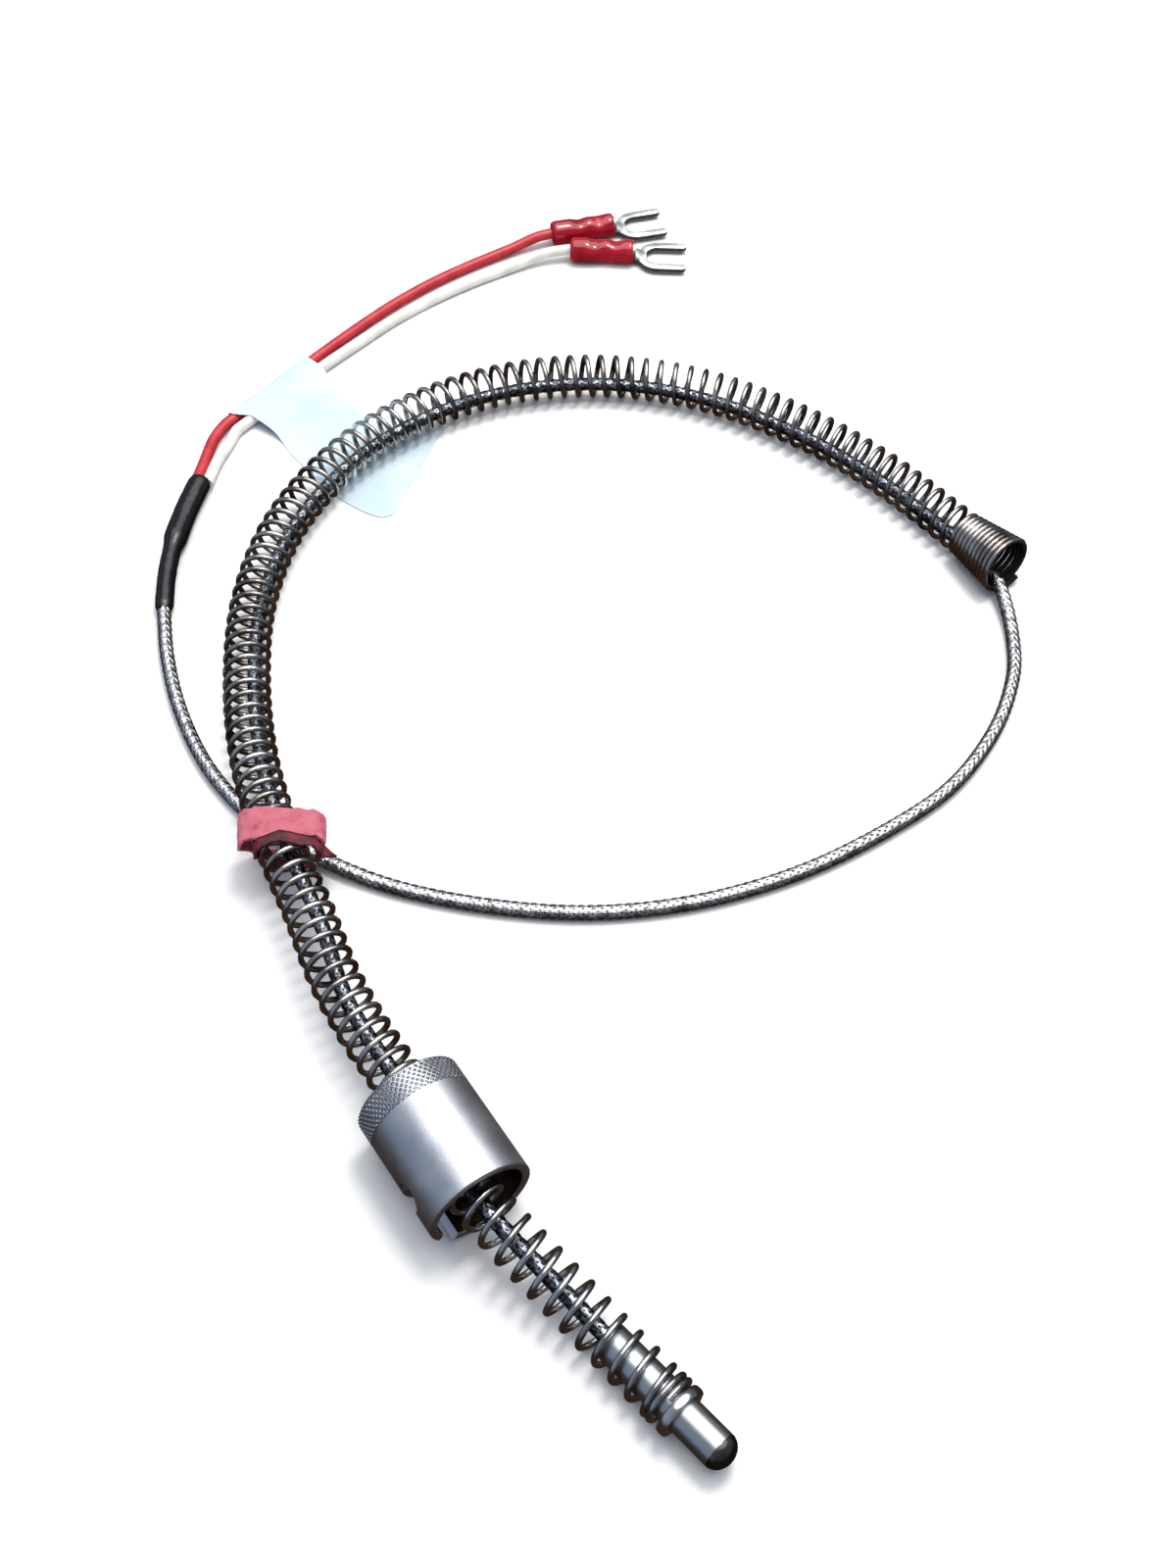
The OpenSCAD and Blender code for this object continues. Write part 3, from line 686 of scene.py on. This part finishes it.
# ---------------------------------------------------------------- bayonet cap
# Turned from brass bar and plated satin nickel, 14.6 mm across and 18 mm long. The mouth takes
# a bayonet adapter, whose side pin enters the slot and turns home in its seat.
cap_satin, tree, shader = new_material("satin_nickel_plate", "#c6cad1", 1.0, 0.33)
place = add_node(tree, "TexCoord")
grit = add_node(tree, "TexNoise", {"Vector": place.outputs["Object"], "Scale": 5.2 / MM, "Detail": 2.0})
bump = add_node(tree, "Bump", {"Height": grit.outputs["Fac"], "Strength": 0.35, "Distance": 0.06 * MM})
tree.links.new(bump.outputs["Normal"], shader.inputs["Normal"])
smear = add_node(tree, "TexNoise", {"Vector": place.outputs["Object"], "Scale": 0.22 / MM, "Detail": 5.0})
rough = add_node(tree, "MapRange", {"Value": smear.outputs["Fac"], 3: 0.34, 4: 0.5})
tree.links.new(rough.outputs[0], shader.inputs["Roughness"])
tone = add_node(tree, "ValToRGB", {"Fac": smear.outputs["Fac"]})
set_stops(tone, (0.25, "#b4b8c0"), (0.75, "#d2d5da"))
tree.links.new(tone.outputs["Color"], shader.inputs["Base Color"])

# The bore is not plated bright: brown and dull
cap_bore, tree, shader = new_material("unplated_bore", "#4a3a2e", 1.0, 0.55)
place = add_node(tree, "TexCoord")
grit = add_node(tree, "TexNoise", {"Vector": place.outputs["Object"], "Scale": 0.9 / MM, "Detail": 3.0})
tone = add_node(tree, "ValToRGB", {"Fac": grit.outputs["Fac"]})
set_stops(tone, (0.3, "#2b211b"), (0.75, "#6a5543"))
tree.links.new(tone.outputs["Color"], shader.inputs["Base Color"])


def cutter(name, bm):
    bmesh.ops.recalc_face_normals(bm, faces=bm.faces[:])
    mesh = bpy.data.meshes.new(name)
    bm.to_mesh(mesh)
    bm.free()
    o = bpy.data.objects.new(name, mesh)
    bpy.context.scene.collection.objects.link(o)
    return o


# the slot is cut by three tools: straight in, round to the left, and a rounder seat at its end
SLOT, SEAT = 3.0, 5.2  # the slot's width, and how far behind the mouth the seat is
ENTRY_AT, SEAT_AT = radians(-50), radians(-94)
cuts = []
bm = bmesh.new()
bmesh.ops.create_cube(bm, size=1)
bmesh.ops.scale(bm, vec=(4, SLOT, 12), verts=bm.verts[:])
bmesh.ops.translate(bm, vec=(7, 0, -SEAT - 0.9 + 6), verts=bm.verts[:])
bmesh.ops.rotate(bm, matrix=Matrix.Rotation(ENTRY_AT, 3, "Z"), verts=bm.verts[:])
cuts.append(cutter("entry_slot_cut", bm))
bm = bmesh.new()
low = -SEAT - 1.7
corners = [bm.verts.new((x, 0, z)) for x, z in ((5, low), (9, low), (9, low + SLOT), (5, low + SLOT))]
side = bm.faces.new(corners)
bmesh.ops.rotate(bm, matrix=Matrix.Rotation(SEAT_AT, 3, "Z"), verts=corners)
bmesh.ops.spin(bm, geom=corners + list(side.edges) + [side], cent=(0, 0, 0), axis=(0, 0, 1),
               angle=radians(50), steps=14, use_merge=False)
cuts.append(cutter("turning_slot_cut", bm))
bm = bmesh.new()
bmesh.ops.create_cone(bm, cap_ends=True, segments=40, radius1=SLOT / 2 + 0.6,
                      radius2=SLOT / 2 + 0.6, depth=4)
bmesh.ops.rotate(bm, matrix=Matrix.Rotation(radians(90), 3, "Y"), verts=bm.verts[:])
bmesh.ops.translate(bm, vec=(7, 0, -SEAT), verts=bm.verts[:])
bmesh.ops.rotate(bm, matrix=Matrix.Rotation(SEAT_AT, 3, "Z"), verts=bm.verts[:])
cuts.append(cutter("seat_cut", bm))

bm = bmesh.new()
BORE_R, CAP_R, BAND_R, HOLE_R = 6.1, 7.2, 6.98, 3.87  # mouth, outside, under the knurls, rear hole
turn_profile(bm, [(BORE_R, -0.2), (6.3, 0), (7.0, 0), (7.12, -0.06), (CAP_R, -0.18), (CAP_R, -13.9),
                  (BAND_R, -14), (BAND_R, -17.5), (6.85, -17.7), (6.4, -17.95), (6.2, -18),
                  (4.1, -18), (HOLE_R, -17.8), (HOLE_R, -15.1), (3.97, -15), (BORE_R, -15)],
             steps=128)
blank = cutter("cap_blank", bm)
for c in cuts:
    m = blank.modifiers.new(c.name, "BOOLEAN")
    m.operation, m.solver, m.object = "DIFFERENCE", "EXACT", c
bpy.context.view_layer.update()
shaped = bpy.data.meshes.new_from_object(blank.evaluated_get(bpy.context.evaluated_depsgraph_get()))
bm = new_mesh()
bm.from_mesh(shaped)
for o in [blank] + cuts:
    bpy.data.objects.remove(o)
bmesh.ops.remove_doubles(bm, verts=bm.verts[:], dist=0.002)
for f in bm.faces:
    c = f.calc_center_median()
    f.material_index = 1 if hypot(c.x, c.y) < 6.6 and -15.2 < c.z < -0.25 else 0
# the spring rides between two small pips in the rear hole
for z, way in ((-15.875, 180), (-17.125, 0)):
    pip = bmesh.ops.create_cone(bm, cap_ends=True, segments=16, radius1=0.44, radius2=0.36,
                                depth=1.3)["verts"]
    bmesh.ops.rotate(bm, matrix=Matrix.Rotation(radians(-90), 3, "Y"), verts=pip)
    bmesh.ops.translate(bm, vec=(3.65, 0, z), verts=pip)
    bmesh.ops.rotate(bm, matrix=Matrix.Rotation(radians(way), 3, "Z"), verts=pip)
bmesh.ops.transform(bm, matrix=cap_place, verts=bm.verts[:])
finish_piece("bayonet_cap_body", bm, [cap_satin, cap_bore], "cap", ["bayonet_cap"],
             crease=30)

# The grip band: diamond knurling rolled into the rear of the cap, 0.8 mm from point to point,
# with bright worn points and painted shade, near black, in the valleys
knurl_painted_valleys, tree, shader = new_material("knurled_nickel_painted_valley_shade", "#c6cad1", 1.0, 0.22)
place = add_node(tree, "TexCoord")
on_axis = add_node(tree, "Mapping", {"Vector": place.outputs["Object"], "Location": tuple(-cap_at * MM)},
                   vector_type="POINT")
turned = add_node(tree, "VectorRotate", {"Vector": on_axis.outputs["Vector"], "Angle": -cap_az},
                  rotation_type="Z_AXIS")
parts = add_node(tree, "SeparateXYZ", {"Vector": turned.outputs["Vector"]})
across = add_node(tree, "CombineXYZ", {"Y": parts.outputs["Y"], "Z": parts.outputs["Z"]})
far_out = add_node(tree, "VectorMath", {0: across.outputs["Vector"]}, operation="LENGTH")
depth = add_node(tree, "MapRange", {"Value": far_out.outputs["Value"], 1: 6.94 * MM, 2: 7.22 * MM})
# Painted shade: the colour runs from near black in the valleys to bright worn metal on the points, by
# distance from the cap's axis
tone = add_node(tree, "ValToRGB", {"Fac": depth.outputs[0]})
set_stops(tone, (0.1, "#2e2c2d"), (0.75, "#e9ecf1"))
tree.links.new(tone.outputs["Color"], shader.inputs["Base Color"])

bm = new_mesh()
AROUND, ROWS, VALLEY_R = 54, 4, 6.92
made = bmesh.ops.create_grid(bm, x_segments=AROUND, y_segments=ROWS, size=1)["verts"]
for v in made:
    q, z = pi * (v.co.x + 1), -14.04 - 3.5 * (v.co.y + 1) / 2
    v.co = Vector((VALLEY_R * cos(q), VALLEY_R * sin(q), z))
bmesh.ops.remove_doubles(bm, verts=bm.verts[:], dist=0.001)
bmesh.ops.recalc_face_normals(bm, faces=bm.faces[:])
squares = [e for e in bm.edges if not e.is_boundary]
bmesh.ops.poke(bm, faces=bm.faces[:])
bmesh.ops.dissolve_edges(bm, edges=squares, use_verts=False)
bmesh.ops.recalc_face_normals(bm, faces=bm.faces[:])
if bm.faces[0].normal.dot(bm.faces[0].calc_center_median()) < 0:
    bmesh.ops.reverse_faces(bm, faces=bm.faces[:])
bmesh.ops.poke(bm, faces=bm.faces[:], offset=0.36)
edge = [e for e in bm.edges if e.is_boundary]
sunk = bmesh.ops.extrude_edge_only(bm, edges=edge)["geom"]
for v in [g for g in sunk if isinstance(g, bmesh.types.BMVert)]:
    v.co.x, v.co.y = v.co.x * 0.94, v.co.y * 0.94
bmesh.ops.bridge_loops(bm, edges=[e for e in bm.edges if e.is_boundary])
bmesh.ops.transform(bm, matrix=cap_place, verts=bm.verts[:])
finish_piece("cap_knurled_band", bm, [knurl_painted_valleys], "cap", [], crease=20)

# ---------------------------------------------------------------- thrust ring
# A plain washer stamped from sheet steel, dull with wear. It lies loose on the floor of the
# cap's bore, where the cap turns against it.
ring_steel, tree, shader = new_material("stamped_steel_ring", "#3f3935", 1.0, 0.45)
place = add_node(tree, "TexCoord")
stamp = add_node(tree, "TexNoise", {"Vector": place.outputs["Object"], "Scale": 0.8 / MM, "Detail": 3.0})
bump = add_node(tree, "Bump", {"Height": stamp.outputs["Fac"], "Strength": 0.2, "Distance": 0.1 * MM})
tree.links.new(bump.outputs["Normal"], shader.inputs["Normal"])
dress_node("thrust_ring", ring_steel)

# ---------------------------------------------------------------- paper flag
# A strip of pale blue-white paper, folded round both leads and stuck to itself. The flag lies
# on the table and runs under the spring, with its two far corners rounded.
paper, tree, shader = new_material("pale_label_paper", "#dfeaf3", 0.0, 0.6)
place = add_node(tree, "TexCoord")
pulp = add_node(tree, "TexNoise", {"Vector": place.outputs["Object"], "Scale": 1.5 / MM, "Detail": 4.0})
cloud = add_node(tree, "TexNoise", {"Vector": place.outputs["Object"], "Scale": 0.09 / MM, "Detail": 3.0})
tone = add_node(tree, "ValToRGB", {"Fac": cloud.outputs["Fac"]})
set_stops(tone, (0.3, "#bdd3e0"), (0.7, "#d9e7ef"))
tree.links.new(tone.outputs["Color"], shader.inputs["Base Color"])
bump = add_node(tree, "Bump", {"Height": pulp.outputs["Fac"], "Strength": 0.1, "Distance": 0.1 * MM})
tree.links.new(bump.outputs["Normal"], shader.inputs["Normal"])

left_edge = Run([(-62.8, 79.6, 0), (-58.9, 76.4, 0), (-56.3, 72.6, 0), (-53.4, 69.2, 0), (-48, 63.1, 0),
                 (-43, 59.5, 0), (-38.9, 58, 0)])
right_edge = Run([(-52, 92, 0), (-50, 87.2, 0), (-46.6, 83.4, 0), (-43.4, 80.8, 0), (-38, 79.4, 0),
                  (-34, 79.1, 0), (-31.4, 78.9, 0)])
wrap_dir = Vector((0.6455, 0.7638, 0))
wrap_out = Vector((-0.7638, 0.6455, 0))
wrap_mid = Vector((-59.95, 86.15, 1.15))
STRIP, CORNER, LEAF_LONG = 19.0, 1.6, 34  # width, corner radius and one leaf's length
FOLD_WIDE = 18  # the strip's width where it is folded
SKEW = 1.7  # how far the strip's left edge slants at the fold
FOLD = 0.16  # the share of the strip that the fold takes
LEAD_GAP, FOLD_R = 1.3, 1.08  # from the fold's middle to each lead, and the fold's radius


def leaf_point(w, v, upper):
    """A point of one leaf: w runs from the leads (0) to the far edge (1), v across the strip."""
    end = min(v, 1 - v) * STRIP
    if end < CORNER and w > 0.9:
        trim = (CORNER - sqrt(CORNER ** 2 - (CORNER - end) ** 2)) / LEAF_LONG
        w -= trim * (w - 0.9) / 0.1
    flat = left_edge.at(left_edge.length * w).lerp(right_edge.at(right_edge.length * w), v) / MM
    start = wrap_mid + wrap_dir * ((v - 0.5) * FOLD_WIDE + (1 - v) * SKEW) - wrap_out * LEAD_GAP
    p = start.lerp(flat, ease(w / 0.14)) if w < 0.14 else flat
    p.z = 0.17 + 2.06 * (1 - ease((w - 0.03) / 0.21)) if upper else 0.1
    return p


def wrap_point(t, v):
    """A point of the fold itself, which goes out under the leads (t = 0) and back over them (1)."""
    centre = wrap_mid + wrap_dir * (v - 0.5) * FOLD_WIDE
    inward = max(0.0, 1 - t / 0.25, (t - 0.75) / 0.25)
    side = centre + wrap_out * LEAD_GAP * (1 - 2 * inward) + wrap_dir * (1 - v) * SKEW * inward
    a = pi * (min(max(t, 0.25), 0.75) - 0.5) * 2
    return side + wrap_out * FOLD_R * cos(a) + Vector((0, 0, FOLD_R * sin(a)))


bm = new_mesh()
made = bmesh.ops.create_grid(bm, x_segments=120, y_segments=24, size=1, calc_uvs=True)["verts"]
for p in made:
    u, v = (p.co.x + 1) / 2, (p.co.y + 1) / 2
    leaf = abs(u - 0.5) - FOLD / 2
    if leaf < 0:
        p.co = wrap_point((u - 0.5) / FOLD + 0.5, v) * MM
    else:
        p.co = leaf_point(leaf / (0.5 - FOLD / 2), v, u > 0.5) * MM
flag = finish_piece("folded_paper_flag", bm, [paper], "armoured_lead", ["label_flag"],
                    crease=60)
thick = flag.modifiers.new("paper_thickness", "SOLIDIFY")
thick.thickness, thick.offset = 0.00006, 0

# ---------------------------------------------------------------- rubber tie
# A strip torn from pink rubber, wound twice round the spring and the cable beneath it. Its
# outside is chalky. The inner turn, which shows at the outer turn's edges, is coloured dark red: painted
# shade.
rubber, tree, shader = new_material("torn_pink_rubber", "#b9566a", 0.0, 0.8)
place = add_node(tree, "TexCoord")
chalk = add_node(tree, "TexNoise", {"Vector": place.outputs["Object"], "Scale": 0.42 / MM, "Detail": 6.0})
tone = add_node(tree, "ValToRGB", {"Fac": chalk.outputs["Fac"]})
set_stops(tone, (0.3, "#7d1c30"), (0.42, "#bd5f6e"), (0.75, "#cb7480"))
tree.links.new(tone.outputs["Color"], shader.inputs["Base Color"])
bump = add_node(tree, "Bump", {"Height": chalk.outputs["Fac"], "Strength": 0.5, "Distance": 0.4 * MM})
tree.links.new(bump.outputs["Normal"], shader.inputs["Normal"])

# Painted shade: the inner turn of the same rubber, coloured dark red to near black
rubber_inner_turn_shade, tree, shader = new_material("rubber_inner_turn_painted_shade", "#5a0f1e", 0.0, 0.7)
place = add_node(tree, "TexCoord")
chalk = add_node(tree, "TexNoise", {"Vector": place.outputs["Object"], "Scale": 0.5 / MM, "Detail": 5.0})
tone = add_node(tree, "ValToRGB", {"Fac": chalk.outputs["Fac"]})
set_stops(tone, (0.35, "#24060c"), (0.75, "#8a2338"))
tree.links.new(tone.outputs["Color"], shader.inputs["Base Color"])

tie_place = Matrix.Translation(Vector((-49.2, -8, 0))) @ Matrix.Rotation(radians(95), 4, "Z")
LOOP_HALF, LOOP_TOP, LOOP_MID = 6.2, 10.95, 5.5  # half the loop's width, its top, its middle height
SQUARE = 0.45  # under 1, and the smaller it is the squarer the loop


def tie_layer(bm, back, front, inset, seed, material, flap):
    """One turn of the strip: a squarish loop round spring and cable, ragged along both edges.

    Its front edge is drawn back near the table, and flap is how far it lifts off at one side."""
    made = bmesh.ops.create_grid(bm, x_segments=112, y_segments=18, size=1)["verts"]
    for p in made:
        q, w = pi * (p.co.x + 1), (p.co.y + 1) / 2
        c, d = cos(q), sin(q)
        z = LOOP_MID + (5.35 - inset) * copysign(abs(d) ** SQUARE, d)
        low = 1 - ease((z - 2.5) / 6.5)  # 1 near the table, 0 at the top
        half = LOOP_HALF - inset - 1.3 * low - (2.1 * material if c > 0 else 0.3 * material)
        y = half * copysign(abs(c) ** SQUARE, c)
        lump = noise.noise(Vector((1.6 * c, 1.6 * d, seed)))
        ragged = noise.noise(Vector((7 * c, 7 * d, seed + 4)))
        worn = noise.noise(Vector((4 * c, 4 * d, seed + 9)))
        a = front + 0.5 * lump + 0.3 * ragged + 3.1 * low + 1.3 * exp(-(y / 2.4) ** 2) * (z > 8)
        b = back + 0.35 * worn + 0.45 * max(-1.0, min(1.0, y)) * (1 - low)
        x = a + (b - a) * w
        puff = 0.16 * noise.noise(Vector((x * 0.6, 3 * c, 3 * d + seed)))
        if y < 0:
            y -= flap * (1 - w) ** 1.5 * exp(-((z - 5.4) / 1.6) ** 2)
        p.co = Vector((x, y * (1 + puff / 6), max(0.12, min(z + puff, LOOP_TOP - inset))))
    for f in {f for p in made for f in p.link_faces}:
        f.material_index = material
    bmesh.ops.remove_doubles(bm, verts=made, dist=1e-5)


bm = new_mesh()
tie_layer(bm, 2.3, -2.5, 0.0, 1.0, 0, 0.0)
tie_layer(bm, 0.5, -4.2, 0.2, 5.0, 1, 2.4)
bmesh.ops.transform(bm, matrix=Matrix.Scale(MM, 4) @ tie_place, verts=bm.verts[:])
tie = finish_piece("rubber_tie_strip", bm, [rubber, rubber_inner_turn_shade], "armoured_lead", ["rubber_tie"],
                   crease=60)
wall = tie.modifiers.new("rubber_thickness", "SOLIDIFY")
wall.thickness, wall.offset = 0.0004, -1

# ---------------------------------------------------------------- table and light
# A plain pale table under one wide soft lamp overhead, and a small bright one beside its
# middle for the highlights. The room is dim, so that bright metal has something dark to mirror.
bm = bmesh.new()
bmesh.ops.create_grid(bm, x_segments=1, y_segments=1, size=3)
table_mesh = bpy.data.meshes.new("table_top")
bm.to_mesh(table_mesh)
bm.free()
table = bpy.data.objects.new("table_top", table_mesh)
bpy.context.scene.collection.objects.link(table)
table_white, tree, shader = new_material("matt_white_table", "#f4f4f4", 0.0, 0.9)
shader.inputs["Specular IOR Level"].default_value = 0.1
table_mesh.materials.append(table_white)
table.visible_glossy = False


def lamp(name, at, towards, size, power, colour):
    data = bpy.data.lights.new(name, "AREA")
    data.shape, data.size, data.energy, data.color = "DISK", size, power, hex_colour(colour)[:3]
    o = bpy.data.objects.new(name, data)
    bpy.context.scene.collection.objects.link(o)
    o.location = at
    o.rotation_euler = (Vector(at) - Vector(towards)).to_track_quat("Z", "Y").to_euler()


lamp("ceiling_softbox", (0.1, 0.2, 0.72), (0, 0, 0), 1.2, 7.8, "#ffffff")
lamp("key_lamp", (0.12, 0.18, 0.7), (0, 0, 0), 0.2, 2.4, "#fffcf8")

world = bpy.data.worlds.new("dim_room")
bpy.context.scene.world = world
world.use_nodes = True
tree = world.node_tree
tree.nodes.clear()
way = add_node(tree, "TexCoord")
side = add_node(tree, "SeparateXYZ", {"Vector": way.outputs["Generated"]})
tilt = add_node(tree, "MapRange", {"Value": side.outputs["Z"], 1: -1.0, 2: 1.0})
height = add_node(tree, "ValToRGB", {"Fac": tilt.outputs[0]})
set_stops(height, (0.25, "#3f2f25"), (0.42, "#3a3a3c"), (0.54, "#6f747b"), (0.85, "#787d85"))
left_side = add_node(tree, "MapRange", {"Value": side.outputs["X"], 1: -0.1, 2: -0.9})
above = add_node(tree, "MapRange", {"Value": side.outputs["Z"], 1: -0.2, 2: 0.2})
window = add_node(tree, "Math", {0: left_side.outputs[0], 1: above.outputs[0]}, operation="MULTIPLY")
room = add_node(tree, "Mix", {0: window.outputs[0], 6: height.outputs["Color"],
                              7: hex_colour("#9aa7bd")}, data_type="RGBA")
back = add_node(tree, "Background", {"Color": room.outputs[2], "Strength": 1.0})
bpy.context.scene.view_settings.view_transform = "Standard"
add_node(tree, "OutputWorld", {"Surface": back.outputs[0]})
